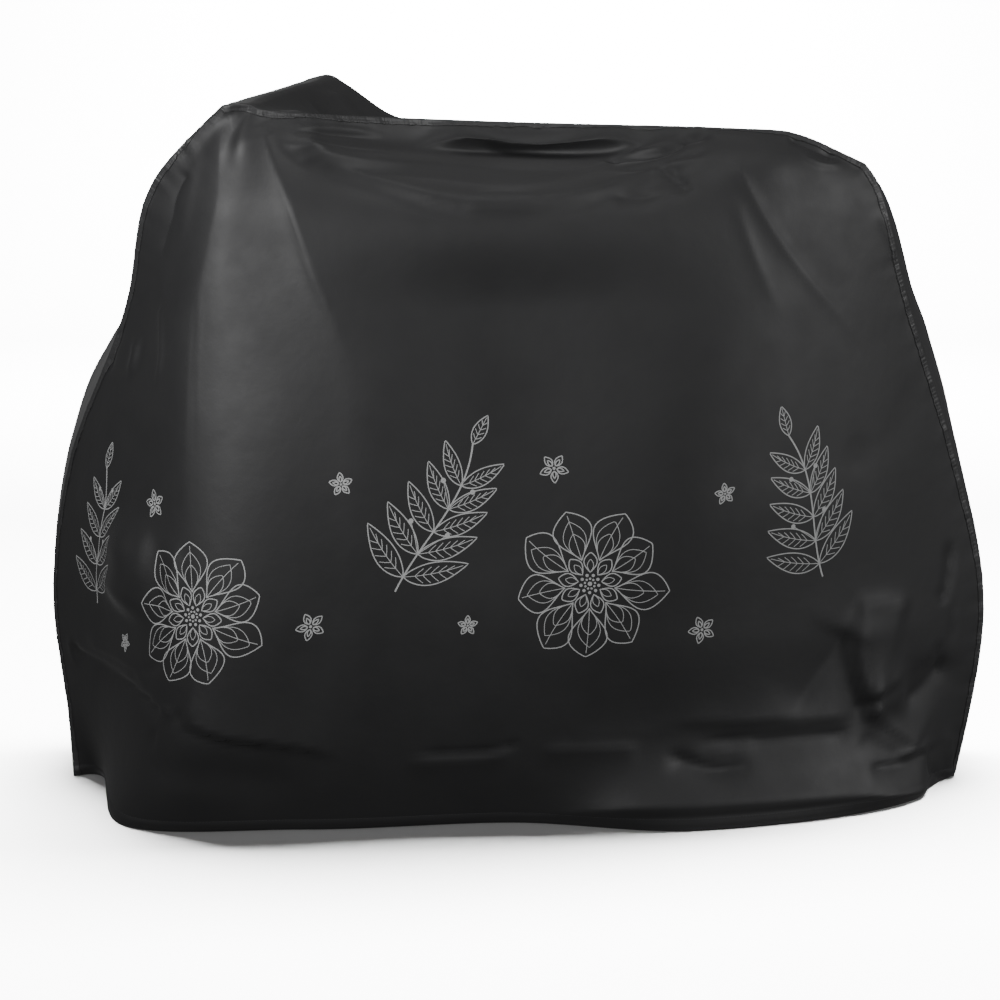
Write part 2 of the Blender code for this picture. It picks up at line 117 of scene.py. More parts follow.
# A fold runs along a path of (along, up) points as seen from the side. Its height is
# positive outwards, left and right are its half widths on the two sides of the path, and
# it fades in and out over those shares of its length, in per cent. A sharpness of 1 makes
# a crease and 2 a round fold.
Fold = namedtuple("Fold", "name height left right fade_in fade_out path sharp", defaults=(2,))
near_folds = [Fold(*row) for row in (
    # The fan that hangs from the grip.
    ("corner ridge", 2.5, 15, 24, 10, 35, ((-452, 1215), (-453, 1180), (-457, 1088), (-473, 1018),
     (-492, 930), (-505, 836), (-513, 720), (-521, 586), (-524, 486)), 1.2),
    ("corner thread", -1, 4, 4, 15, 30, ((-497, 925), (-503, 836), (-508, 720), (-513, 629))),
    ("corner second thread", 0.9, 3, 3, 20, 30, ((-492, 925), (-495, 837), (-500, 754))),
    ("fan edge", 12.6, 89, 18, 6, 45, ((-392, 1206), (-372, 1147), (-336, 1057), (-304, 960),
     (-274, 890), (-236, 804)), 1),
    ("fan inner plane", 3.3, 28, 30, 12, 50, ((-436, 1203), (-442, 1149), (-455, 1035), (-468, 904),
     (-474, 756))),
    # The tucked front end beside it.
    ("end sharp crease", -4.4, 5, 11, 10, 20, ((-508, 1127), (-522, 1106), (-533, 1084),
     (-540, 1054), (-554, 1014), (-564, 979)), 1),
    ("end fold", 1.4, 11, 12, 15, 35, ((-490, 1160), (-503, 1117), (-518, 1055), (-535, 976))),
    ("end thin ridge", 3.7, 4, 5, 12, 30, ((-566, 901), (-564, 835), (-566, 802), (-579, 761))),
    ("end bump", 7.6, 7, 10, 30, 35, ((-613, 843), (-617, 802), (-634, 761))),
    ("end groove", -6, 7, 8, 25, 30, ((-642, 854), (-666, 803), (-679, 752))),
    ("wheel soft ridge", 3.5, 10, 12, 30, 40, ((-593, 539), (-589, 474), (-603, 403))),
    ("wheel second ridge", 5.4, 8, 13, 30, 40, ((-536, 517), (-544, 433), (-553, 359))),
    ("wheel soft hollow", -3.7, 10, 13, 30, 40, ((-567, 512), (-570, 427), (-573, 340))),
    # The swags between the grip and the saddle.
    ("upper swag", 12, 22, 7, 8, 30, ((-355, 1191), (-302, 1141), (-249, 1125), (-189, 1118),
     (-121, 1114), (-37, 1106), (50, 1098), (128, 1101), (187, 1114)), 1.8),
    ("lower swag", 18, 40, 8, 6, 12, ((-370, 1187), (-314, 1139), (-261, 1117), (-200, 1100),
     (-142, 1084), (-84, 1071), (-35, 1063), (31, 1062), (98, 1069), (149, 1077), (215, 1094),
     (312, 1125), (365, 1147)), 1.8),
    ("between the swags", -4, 8, 8, 20, 25, ((-285, 1122), (-202, 1108), (-101, 1100), (0, 1090),
     (100, 1086)), 1.6),
    ("lower swag strand", 3.1, 6, 9, 25, 30, ((-62, 1064), (-30, 1071), (43, 1070), (77, 1066))),
    ("rim flap", 34, 26, 9, 20, 20, ((-150, 1149), (-90, 1147), (-30, 1146), (30, 1146), (90, 1144),
     (150, 1143), (210, 1146), (260, 1152)), 1.7),
    ("grip strand", 2.5, 5, 6, 20, 40, ((-358, 1195), (-320, 1194), (-261, 1189), (-186, 1172))),
    ("grip second strand", 2.5, 6, 6, 20, 40, ((-351, 1163), (-300, 1152), (-241, 1142),
     (-172, 1136))),
    ("grip dark strand", -4, 5, 7, 20, 40, ((-359, 1188), (-303, 1181), (-251, 1175),
     (-187, 1162))),
    ("swag dent", -7, 4, 12, 30, 40, ((187, 1076), (226, 1079), (276, 1078)), 1.2),
    ("swag slit", -9, 4, 10, 30, 25, ((264, 1110), (293, 1108), (323, 1080)), 1.2),
    ("rear strand", 7.5, 7, 7, 30, 20, ((152, 1102), (238, 1129), (312, 1151), (361, 1168)), 1.5),
    ("rear second strand", -6.2, 4, 6, 30, 20, ((171, 1100), (249, 1106), (309, 1129),
     (363, 1155)), 1.5),
    ("rear dark strand", -16, 4, 8, 15, 20, ((172, 1113), (215, 1122), (277, 1133), (342, 1166),
     (370, 1169)), 1.5),
    ("rim light", 4, 8, 7, 25, 25, ((239, 1179), (327, 1173), (410, 1168), (469, 1162))),
    # The fan that hangs from the rear of the saddle.
    ("rear fan ridge", 5, 9, 12, 6, 35, ((394, 1135), (411, 1099), (439, 1048), (481, 985),
     (530, 923), (580, 866), (634, 799)), 1.2),
    ("rear inner ridge", 3, 10, 12, 20, 35, ((388, 1085), (411, 1020), (436, 955), (460, 905),
     (479, 863)), 1.5),
    ("rear outer ridge", 3.9, 12, 8, 15, 30, ((645, 1053), (669, 993), (694, 922), (724, 834),
     (753, 736))),
    ("rear shoulder dark", -6, 5, 8, 15, 15, ((491, 1165), (520, 1154), (554, 1139),
     (580, 1129)), 1.5),
    ("rear shoulder light", 3.7, 5, 6, 20, 30, ((510, 1139), (543, 1123), (588, 1119))),
    ("rear slope break", -1.6, 35, 30, 25, 35, ((745, 755), (704, 693), (655, 614))),
    ("rear patch", -2.3, 33, 30, 40, 40, ((633, 672), (616, 631), (601, 590))),
    # The slack film that breaks over the lower band.
    ("wheel pocket", -10, 7, 16, 8, 12, ((-770, 260), (-756, 249), (-712, 244), (-657, 241),
     (-618, 232), (-566, 215)), 1.2),
    ("pocket upper lip", 5.1, 12, 8, 20, 20, ((-737, 277), (-688, 280), (-636, 277), (-594, 255))),
    ("pocket ridge", 4.2, 5, 5, 20, 30, ((-602, 227), (-579, 224), (-560, 218), (-550, 208))),
    ("pocket branch", -3.6, 9, 9, 20, 40, ((-644, 263), (-614, 273), (-591, 287), (-573, 305),
     (-562, 320))),
    ("pocket tip", 3, 5, 6, 30, 30, ((-768, 268), (-770, 244), (-761, 221))),
    ("wheel swell", 31.9, 41, 49, 40, 30, ((-650, 556), (-621, 465), (-650, 347))),
    ("lower edge", 10, 70, 6, 8, 30, ((-546, 209), (-524, 203), (-498, 196), (-466, 186),
     (-421, 178), (-368, 168), (-317, 157), (-254, 136)), 1.2),
    ("under the lower edge", -2.8, 4, 10, 15, 40, ((-542, 207), (-502, 190), (-467, 175),
     (-421, 166), (-363, 157)), 1.5),
    ("lower patch", -4.6, 12, 12, 30, 30, ((-551, 220), (-529, 207), (-515, 195))),
    ("lower tick", -3.8, 5, 6, 30, 30, ((-586, 186), (-590, 166), (-592, 145))),
    ("middle light edge", 5, 6, 20, 20, 20, ((-169, 131), (-102, 131), (-22, 133), (34, 143)), 1.4),
    ("middle crease", -6, 5, 3, 25, 15, ((-144, 143), (-67, 141), (0, 146), (43, 159)), 1.2),
    ("middle band", 5.9, 8, 27, 25, 20, ((60, 142), (136, 144), (248, 141)), 1.3),
    ("dent", -12.1, 11, 18, 25, 25, ((278, 131), (320, 110), (361, 96), (406, 96),
     (433, 107)), 1.3),
    ("dent lip", 4.9, 5, 8, 30, 30, ((352, 131), (396, 129), (451, 135)), 1.5),
    ("over the rear crease", 8, 60, 16, 30, 15, ((239, 183), (341, 182), (459, 175), (536, 171),
     (632, 162)), 1.1),
    ("rear crease", -7.8, 9, 16, 25, 12, ((326, 145), (463, 138), (522, 138), (622, 133)), 1.1),
    ("rear band", 22, 70, 14, 30, 6, ((26, 16), (104, 23), (208, 33), (323, 35), (460, 34),
     (600, 29), (776, 0)), 1.3),
    ("rear dent lip", 7, 7, 4, 20, 10, ((692, 79), (719, 80), (759, 84)), 1.3),
    ("rear dent", -9, 5, 19, 20, 10, ((639, 72), (696, 66), (730, 67), (762, 73)), 1.1),
    ("band upper break", 1.4, 12, 19, 20, 20, ((103, 165), (205, 171), (325, 167)), 1.3),
    ("lower left shade", -5, 31, 35, 30, 30, ((-616, 118), (-473, 110), (-305, 88))),
    # The box-like break above the rear hem.
    ("box top", 9, 12, 100, 10, 25, ((618, 363), (657, 363), (724, 347)), 1.2),
    ("box side", 18, 60, 10, 35, 10, ((617, 367), (615, 305), (624, 232), (641, 184)), 1.2),
    ("box foot", 22, 75, 20, 30, 35, ((625, 177), (680, 176), (735, 181)), 1.5),
    ("box shade", -14, 30, 30, 25, 10, ((793, 253), (776, 211), (744, 181), (696, 175),
     (653, 175)), 1.2),
    ("rear triangle", 10.1, 26, 11, 10, 10, ((643, 173), (675, 145), (706, 118), (742, 86)), 1.1),
    ("rear wedge", -4.9, 9, 20, 20, 20, ((630, 131), (673, 96), (717, 72)), 1.6),
    ("slope beside the box", -9.4, 24, 48, 12, 30, ((610, 322), (588, 284), (560, 251), (528, 208),
     (492, 167)), 1.2),
    ("rear upright crease", -5.7, 6, 4, 20, 30, ((777, 273), (785, 232), (787, 187)), 1.2),
    ("rear tuck", -9.4, 5, 7, 20, 5, ((799, 453), (797, 399), (787, 343)), 1.2),
    ("rear tuck hook", -3.6, 4, 4, 10, 40, ((790, 337), (797, 345), (802, 340), (805, 306),
     (809, 253)), 1.5),
    ("rear corner crease", -9, 12, 3, 10, 10, ((765, 80), (770, 34), (808, 0)), 1),
    ("rear corner light", 4.3, 5, 6, 30, 20, ((805, 113), (812, 68), (816, 32), (816, 1),
     (801, 2))),
)]


def smooth(knots, values, places):
    """The values at the given places on a smooth curve through the knots."""
    knots, values = np.asarray(knots, float), np.asarray(values, float)
    flat = values.reshape(len(knots), -1)
    steps = np.diff(knots)[:, None]
    slopes = np.diff(flat, axis=0) / steps
    tangents = np.vstack([slopes[:1], slopes])
    tangents[1:-1] = (slopes[:-1] * steps[1:] + slopes[1:] * steps[:-1]) / (steps[:-1] + steps[1:])
    cell = np.clip(np.searchsorted(knots, places, side="right") - 1, 0, len(knots) - 2)
    step = steps[cell]
    share = ((places - knots[cell]) / steps[cell, 0])[:, None]
    start = (2 * share**3 - 3 * share**2 + 1) * flat[cell]
    leave = (share**3 - 2 * share**2 + share) * step * tangents[cell]
    end = (3 * share**2 - 2 * share**3) * flat[cell + 1]
    arrive = (share**3 - share**2) * step * tangents[cell + 1]
    return (start + leave + end + arrive).reshape((len(places),) + values.shape[1:])


def stations(knots, counts):
    """Places from knot to knot, with the given number of steps in each gap."""
    gaps = [np.linspace(a, b, n, endpoint=False) for a, b, n in zip(knots, knots[1:], counts)]
    return np.concatenate(gaps + [[knots[-1]]])


def draped(ribs, rib_faces):
    """The panel's main form: a grid of points, [row up the sheet, column along it]."""
    heights = np.array(list(LEVELS.values())) / MM
    points = [[(*getattr(rib, level), own)[:3] for rib in ribs] for level, own in LEVELS.items()]
    levels = [stations(heights, LEVEL_FACES), heights[-1] - SEAM_ROWS, HEM_ROWS]
    rows = smooth(heights, np.array(points) / MM, np.unique(np.concatenate(levels)))
    along = np.array([rib.at for rib in ribs]) / MM
    columns = [stations(along, rib_faces), SEAM_ROWS, along[-1] - SEAM_ROWS]
    grid = smooth(along, rows.transpose(1, 0, 2), np.sort(np.concatenate(columns)))
    return grid.transpose(1, 0, 2)


def unit(vectors):
    return vectors / np.linalg.norm(vectors, axis=-1, keepdims=True)


def outward(grid, side):
    """Unit normals of a grid, turned to the side that is outside."""
    return unit(side * np.cross(np.gradient(grid, axis=1), np.gradient(grid, axis=0)))


def run_along(points, axis=0):
    """How far each point is along its line, or along its row or column of a grid."""
    steps = np.linalg.norm(np.diff(points, axis=axis), axis=-1)
    return np.insert(np.cumsum(steps, axis=axis), 0, 0, axis=axis)


def ease(share):
    """0 to 1 with a soft start and end."""
    share = np.clip(share, 0, 1)
    return share * share * (3 - 2 * share)


def measured(path, points, steps=24):
    """How far points are from a smooth path, whether on its left, and the share passed."""
    lengths = run_along(path)
    line = smooth(lengths, path, np.linspace(0, lengths[-1], steps + 1))
    distance = np.full(points.shape[:2], np.inf)
    on_left, share = np.zeros(points.shape[:2], bool), np.zeros(points.shape[:2])
    for step, (start, end) in enumerate(zip(line, line[1:])):
        run = end - start
        passed = np.clip((points - start) @ run / (run @ run), 0, 1)
        away = points - start - passed[..., None] * run
        reach = np.linalg.norm(away, axis=2)
        nearer = reach < distance
        distance = np.where(nearer, reach, distance)
        on_left = np.where(nearer, run[0] * away[..., 1] > run[1] * away[..., 0], on_left)
        share = np.where(nearer, (step + passed) / steps, share)
    return distance, on_left, share


def fold_heights(folds, flat):
    """How far the folds move each point outwards, by its two flat coordinates."""
    height = np.zeros(flat.shape[:2])
    for fold in folds:
        distance, on_left, share = measured(np.array(fold.path) / MM, flat)
        width = np.where(on_left, fold.left, fold.right) / MM
        fade_in, fade_out = fold.fade_in / PER_CENT, fold.fade_out / PER_CENT
        fade = ease(share / fade_in) * ease((1 - share) / fade_out)
        height += fold.height / MM * fade * np.exp(-((distance / width) ** fold.sharp))
    return height


def seam_places(grid):
    """Rows and columns of a panel's sewn edge, from the front hem over to the rear hem."""
    top, rear = grid.shape[0] - 1, grid.shape[1] - 1
    rows = np.concatenate([np.arange(top), np.full(rear, top), np.arange(top, -1, -1)])
    columns = np.concatenate([np.zeros(top, int), np.arange(rear), np.full(top + 1, rear)])
    return rows, columns


def seam_reach(grid):
    """Each point's distance from the sewn edge, and the distance along that edge."""
    edge = grid[seam_places(grid)]
    along = run_along(edge)
    reach, run = np.empty(grid.shape[:2]), np.empty(grid.shape[:2])
    for row, points in enumerate(grid):
        away = np.linalg.norm(points[:, None] - edge, axis=2)
        reach[row], run[row] = away.min(axis=1), along[away.argmin(axis=1)]
    return reach, run


# The sewn edges are uneven by a few waves: the size, rate a metre and start of each.
Wave = namedtuple("Wave", "size rate start")
seam_waves = (Wave(1, 126, 0), Wave(0.7, 71, 1.3), Wave(0.6, 203, 0.4))


def uneven(run, waves):
    return sum(wave.size * np.sin(run * wave.rate + wave.start) for wave in waves)


def gathered(reach, run, depth=0.0011, width=0.020, calm=0.006):
    """The uneven small waves that the stitching draws into the sheet beside a seam."""
    return depth * uneven(run, seam_waves) * np.exp(-reach / width) * ease(reach / calm)


HEM_STITCH = 0.0205  # height of the hem's row of stitches
HEM_EDGE = 0.0235  # height of the turned hem's upper edge


def hemmed(height, thicker=0.0007, edge=0.003, sunk=0.0009, groove=0.0022, tucked=0.004,
           foot=0.012):
    """The turned hem: thicker than the sheet, drawn in at its stitches and under at the floor."""
    turned_up = thicker * ease((HEM_EDGE - height) / edge)
    stitched = sunk * np.exp(-(((height - HEM_STITCH) / groove) ** 2))
    return turned_up - stitched - tucked * (1 - ease(height / foot))


def folded(ribs, rib_faces, folds, side, calm=0.014, hem_calm=0.004):
    """A panel's grid with its folds and hem, which die down within these reaches of the seam."""
    grid = draped(ribs, rib_faces)
    reach, run = seam_reach(grid)
    height = fold_heights(folds, grid[..., [0, 2]]) * ease(reach / calm) + gathered(reach, run)
    height += hemmed(grid[..., 2]) * ease(reach / hem_calm)
    grid = grid + height[..., None] * outward(grid, side)
    grid[0, :, 2] = 0
    return grid - FOOT, reach, run


def wall(grid, side):
    """The step from each outer point to the inner one behind it, level at the floor."""
    inward = -FILM * outward(grid, side)
    inward[grid[..., 2] == 0, 2] = 0
    return inward


def numbered(rows, columns):
    """The numbers of a grid's points, and the quads between them."""
    place = np.arange(rows * columns).reshape(rows, columns)
    corners = [place[:-1, :-1], place[:-1, 1:], place[1:, 1:], place[1:, :-1]]
    return place, np.stack(corners, axis=2).reshape(-1, 4)


def sheet_faces(rows, columns):
    """Quads of a closed sheet: outer grid, inner grid and the rim round both."""
    place, outer = numbered(rows, columns)
    rim = np.concatenate([place[0, :-1], place[:-1, -1], place[-1, :0:-1], place[:0:-1, 0]])
    after, behind = np.roll(rim, -1), place.size
    edge = np.stack([after, rim, rim + behind, after + behind], axis=1)
    return np.concatenate([outer, outer[:, ::-1] + behind, edge])


def make_mesh(name, points, faces, material, side=NEAR_SIDE):
    """A smooth shaded piece at the origin. Its faces are turned over on the far side."""
    mesh = bpy.data.meshes.new(name)
    mesh.from_pydata(np.asarray(points).tolist(), [], [list(face)[::side] for face in faces])
    mesh.shade_smooth()
    mesh.materials.append(material)
    return placed(name, mesh)


def store(piece, title, values):
    """Keeps a number for each point of a piece, for its material."""
    stored = piece.data.attributes.new(title, "FLOAT", "POINT")
    stored.data.foreach_set("value", np.asarray(values, np.float32).ravel())


def make_sheet(name, grid, inward, side, reach, run):
    """A closed sheet of film, with the distances from its seam stored for the material."""
    points = np.concatenate([grid, grid + inward]).reshape(-1, 3)
    piece = make_mesh(name, points, sheet_faces(*grid.shape[:2]), film, side)
    store(piece, "seam_reach", np.tile(reach.ravel(), 2))
    store(piece, "seam_run", np.tile(run.ravel(), 2))
    return piece


def plain_material(name, **numbers):
    """A new material with numbers set on its shader's own sockets."""
    material = bpy.data.materials.new(name)
    material.use_nodes = True
    finish = material.node_tree.nodes["Principled BSDF"]
    for title, value in numbers.items():
        finish.inputs[title.replace("_", " ")].default_value = value
    return material, material.node_tree, finish.inputs


def new_node(tree, kind, inputs=(), **settings):
    """A new node's outputs. Each of its inputs is linked from an output or set to a number."""
    node = tree.nodes.new(kind)
    for title, value in settings.items():
        setattr(node, title, value)
    for title, value in dict(inputs).items():
        if isinstance(value, bpy.types.NodeSocket):
            tree.links.new(value, node.inputs[title])
        else:
            node.inputs[title].default_value = value
    return node.outputs


def noise(tree, where, scale, detail):
    inputs = {"Vector": where, "Scale": scale, "Detail": detail}
    return new_node(tree, "ShaderNodeTexNoise", inputs)["Fac"]


def mottle(tree, finish, fleck, dark, light):
    """Gives a shader two tones that change with a fleck."""
    inputs = {"Factor": fleck, "A": (*dark, 1), "B": (*light, 1)}
    tone = new_node(tree, "ShaderNodeMix", inputs, data_type="RGBA")
    tree.links.new(tone["Result"], finish["Base Color"])


def film_material(name, dark, light, roughness):
    """Black plastic film: satin, finely embossed, faintly uneven and puckered at its seams."""
    shine = dict(Specular_IOR_Level=0.70, Sheen_Weight=0.06, Sheen_Roughness=0.45)
    material, tree, finish = plain_material(name, **shine)
    where = new_node(tree, "ShaderNodeTexCoord")["Object"]

    def spread(value, from_low, from_high, low, high):
        ends = {"From Min": from_low, "From Max": from_high, "To Min": low, "To Max": high}
        return new_node(tree, "ShaderNodeMapRange", {"Value": value, **ends})["Result"]

    mottle(tree, finish, noise(tree, where, 9, 4), dark, light)
    dull = spread(noise(tree, where, 14, 5), 0.3, 0.7, roughness - 0.04, roughness + 0.05)
    tree.links.new(dull, finish["Roughness"])

    # Puckers run in from the stitched seam.
    reach, run = (new_node(tree, "ShaderNodeAttribute", attribute_name=title)["Fac"]
                  for title in ("seam_reach", "seam_run"))
    place = new_node(tree, "ShaderNodeCombineXYZ", {"X": run})["Vector"]
    factors = {0: noise(tree, place, 140, 2), 1: spread(reach, 0.004, 0.018, 1, 0)}
    puckers = new_node(tree, "ShaderNodeMath", factors, operation="MULTIPLY")["Value"]

    # Broad waves, crinkles, the puckers and the embossed grain lie one on the other.
    layers = ((noise(tree, where, 6, 2), 0.008, 0.20), (noise(tree, where, 45, 4), 0.0014, 0.30),
              (puckers, 0.004, 0.5), (noise(tree, where, 900, 2), 0.00025, 0.30))
    under = {}
    for height, distance, strength in layers:
        inputs = {"Height": height, "Distance": distance, "Strength": strength, **under}
        under = {"Normal": new_node(tree, "ShaderNodeBump", inputs)["Normal"]}
    tree.links.new(under["Normal"], finish["Normal"])
    return material


def dress(piece, slot, *nodes):
    """The piece stays with the cover's one body, and the CAD parts that it stands in for are
    hidden. The slot is not used.
    """
    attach(piece, "root")
    if nodes:
        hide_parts(*nodes)


film = film_material("black film", (0.012, 0.012, 0.013), (0.019, 0.019, 0.020), 0.60)
near, *near_seam = folded(near_ribs, NEAR_RIB_FACES, near_folds, NEAR_SIDE)


# Far side panel. It is cut from the same film and hangs from the far grip and the saddle,
# with looser folds. Its upper edge has as many points as the near one, for the strip
# that is sewn between them.
FAR_RIB_FACES = (26, 36, 34, 14, 28, 40, 34, 26)
far_ribs = [Rib(*row) for row in (
    ("front seam", 0, (-755, 262), (-762, 270), (-782, 285), (-745, 275), (-600, 262),
     (-500, 262, 1080), (-420, 260, 1175), (-345, 252, 1248)),
    ("wheel", 120, (-660, 300), (-665, 310), (-660, 325), (-630, 315), (-520, 300),
     (-440, 290, 1085), (-375, 280, 1190), (-325, 258, 1253)),
    ("front corner", 290, (-500, 300), (-500, 315), (-480, 322), (-450, 318), (-370, 310),
     (-335, 300, 1090), (-310, 288, 1195), (-303, 258, 1254)),
    ("grip fan", 480, (-300, 285), (-300, 300), (-280, 310), (-270, 308), (-255, 300),
     (-260, 290, 1080), (-262, 275, 1170), (-265, 250, 1232)),
    ("behind the grip", 600, (-171, 275), (-171, 289), (-158, 300), (-155, 297), (-160, 286),
     (-173, 271, 1057), (-186, 254, 1132), (-194, 230, 1186)),
    ("middle", 780, (20, 262), (20, 275), (20, 285), (20, 280), (10, 262), (0, 240, 1030),
     (-20, 220, 1100), (-30, 195, 1150)),
    ("rear fan", 1110, (340, 260), (340, 270), (340, 280), (350, 275), (380, 250), (390, 225, 1030),
     (400, 205, 1090), (405, 180, 1140)),
    ("rear corner", 1400, (640, 262), (640, 270), (640, 270), (620, 262), (555, 235),
     (530, 215, 1020), (520, 200, 1080), (515, 175, 1130)),
    ("rear seam", 1600, (800, 250), (815, 250), (845, 245), (800, 230), (700, 185), (660, 170, 990),
     (640, 165, 1030), (615, 160, 1065)),
)]
far_folds = [Fold(*row) for row in (
    ("front fan ridge", 20, 34, 30, 10, 50, ((-330, 1200), (-420, 950), (-470, 600))),
    ("fan hollow", -17, 30, 30, 20, 60, ((-292, 1180), (-300, 950), (-330, 640))),
    ("rear fan ridge", 21, 30, 36, 10, 55, ((-262, 1190), (-200, 980), (-130, 770))),
    ("swag", 28, 26, 30, 25, 25, ((-240, 1140), (-120, 1050), (60, 1015), (240, 1030),
     (380, 1090))),
    ("recess", -26, 26, 26, 30, 30, ((-170, 1120), (60, 1070), (300, 1095))),
    ("saddle ridge", 22, 26, 34, 8, 50, ((410, 1090), (490, 900), (610, 690))),
    ("saddle hollow", -15, 28, 28, 20, 50, ((380, 1050), (420, 880), (480, 700))),
    ("front wheel swell", 14, 70, 60, 40, 40, ((-560, 520), (-580, 340), (-560, 180))),
    ("rear wheel swell", 12, 80, 80, 40, 40, ((600, 520), (620, 340), (600, 180))),
    ("lower break", -22, 22, 40, 20, 25, ((-480, 170), (-300, 130), (-80, 140), (120, 115))),
    ("lower lip", 20, 40, 22, 25, 25, ((180, 130), (380, 160), (600, 130))),
    ("hem wave", 14, 50, 50, 30, 60, ((-180, -60), (-170, 100), (-150, 260))),
    ("second hem wave", -14, 50, 60, 30, 60, ((330, -60), (320, 90), (300, 220))),
)]
far, *far_seam = folded(far_ribs, FAR_RIB_FACES, far_folds, FAR_SIDE)


# Gusset. It is the long strip of film that is sewn between the two side panels, from the
# front hem up over the handlebar and along the saddle to the rear hem.
SEAM_GAP = 0.0003
MITRE_LIMIT = 0.6  # keeps the edge from growing long where a seam is sharp
STRIP_FACES = 22
STRIP_EDGE_ROWS = np.array((0.006, 0.015, 0.028))  # extra rows of faces, in shares of its width
Swell = namedtuple("Swell", "name at height")
swells = [Swell(*row) for row in (
    ("front hem", 0.00, 4), ("front wheel", 0.10, 16), ("above the wheel", 0.21, 22),
    ("below the bar", 0.31, -20), ("handlebar", 0.385, -4), ("behind the bar", 0.43, -30),
    ("first top fold", 0.47, -16), ("top hollow", 0.52, -34), ("saddle nose", 0.58, -12),
    ("saddle hollow", 0.63, -22), ("rear rack", 0.68, 18), ("rear slope", 0.76, 21),
    ("rear wheel", 0.90, 16), ("rear hem", 1.00, 4),
)]
# Folds of the strip, by the distances along it and across it from the near seam.
strip_folds = [Fold(*row) for row in (
    ("bar ridge", 6, 30, 40, 30, 30, ((1400, 60), (1405, 250), (1420, 470))),
    ("front drape", -10, 30, 30, 30, 40, ((1360, 100), (1220, 140), (1050, 160))),
    ("front drape ridge", 10, 26, 30, 30, 40, ((1360, 300), (1240, 260), (1080, 220))),
    ("far grip fold", 8, 12, 20, 20, 40, ((1440, 430), (1500, 330), (1580, 220))),
    ("far grip hollow", -10, 20, 14, 20, 40, ((1430, 330), (1500, 240), (1600, 150))),
    ("near grip fold", 9, 18, 24, 15, 50, ((1440, 50), (1540, 110), (1700, 140))),
    ("top hollow", -9, 26, 26, 30, 30, ((1760, 60), (1950, 90), (2180, 70))),
    ("saddle fold", 7, 20, 22, 30, 30, ((1980, 130), (2140, 100), (2300, 60))),
    ("rear break", -7, 20, 24, 30, 30, ((2430, 20), (2500, 90), (2560, 160))),
    ("rear slope ridge", 6, 24, 26, 30, 40, ((2640, 80), (2800, 100), (2960, 90))),
    ("front slope fold", 8, 30, 20, 30, 40, ((980, 90), (820, 120), (600, 100))),
    ("front low break", -7, 16, 24, 25, 25, ((260, 10), (250, 90), (280, 170))),
    ("rear low break", -7, 16, 24, 25, 25, ((3330, 10), (3340, 90), (3310, 180))),
)]


def strip_between(near_edge, far_edge, calm=0.05):
    """The gusset's grid, [row from the near seam to the far one, column along it]."""
    shares = [np.linspace(0, 1, STRIP_FACES + 1), STRIP_EDGE_ROWS, 1 - STRIP_EDGE_ROWS]
    shares = np.sort(np.concatenate(shares))[:, None, None]
    flat = near_edge * (1 - shares) + far_edge * shares
    run = run_along((near_edge + far_edge) / 2)
    heights = [swell.height / MM for swell in swells]
    middle = smooth([swell.at for swell in swells], heights, run / run[-1])
    arch = 4 * shares * (1 - shares) * middle[None, :, None]
    across = shares[..., 0] * np.linalg.norm(far_edge - near_edge, axis=1)
    along = np.broadcast_to(run, across.shape)
    reach = np.minimum(across, across[-1] - across)
    folds = fold_heights(strip_folds, np.stack([along, across], axis=2)) * ease(reach / calm)
    lift = folds + gathered(reach, along)
    grid = flat + (arch + lift[..., None]) * outward(flat, NEAR_SIDE)
    grid[:, [0, -1], 2] = 0
    return grid, reach, along


def mitre(edge, panel_wall, strip_wall, into_strip):
    """The shared wall step along a seam, and half the gap on the strip's side."""
    along = unit(np.gradient(edge, axis=0))
    middle = unit(panel_wall) + unit(strip_wall)
    middle -= (middle * along).sum(axis=1, keepdims=True) * along
    middle[[0, -1], 2] = 0
    middle = unit(middle)
    spread = np.maximum((middle * unit(panel_wall)).sum(axis=1), MITRE_LIMIT)[:, None]
    across = unit(np.cross(along, middle))
    across *= np.sign((across * into_strip).sum(axis=1, keepdims=True))
    across[[0, -1], 2] = 0
    return middle * FILM / spread, across * SEAM_GAP / 2


def join(panel, panel_wall, strip, strip_wall, strip_row, next_row):
    """Gives a panel and the gusset one mitred wall along their seam, a gap apart."""
    places = seam_places(panel)
    edge = panel[places]
    into_strip = strip[next_row] - edge
    step, gap = mitre(edge, panel_wall[places], strip_wall[strip_row], into_strip)
    panel[places], panel_wall[places] = edge - gap, step
    strip[strip_row], strip_wall[strip_row] = edge + gap, step


strip, *strip_seam = strip_between(near[seam_places(near)], far[seam_places(far)])
near_wall, far_wall, strip_wall = wall(near, NEAR_SIDE), wall(far, FAR_SIDE), wall(strip, NEAR_SIDE)
join(near, near_wall, strip, strip_wall, 0, 3)
join(far, far_wall, strip, strip_wall, -1, -4)
near_panel = make_sheet("near_panel", near, near_wall, NEAR_SIDE, *near_seam)
far_panel = make_sheet("far_panel", far, far_wall, FAR_SIDE, *far_seam)
gusset_strip = make_sheet("gusset_strip", strip, strip_wall, NEAR_SIDE, *strip_seam)
dress(near_panel, "film", "side_panel_near")
dress(far_panel, "film", "side_panel_far")
dress(gusset_strip, "film", "gusset")
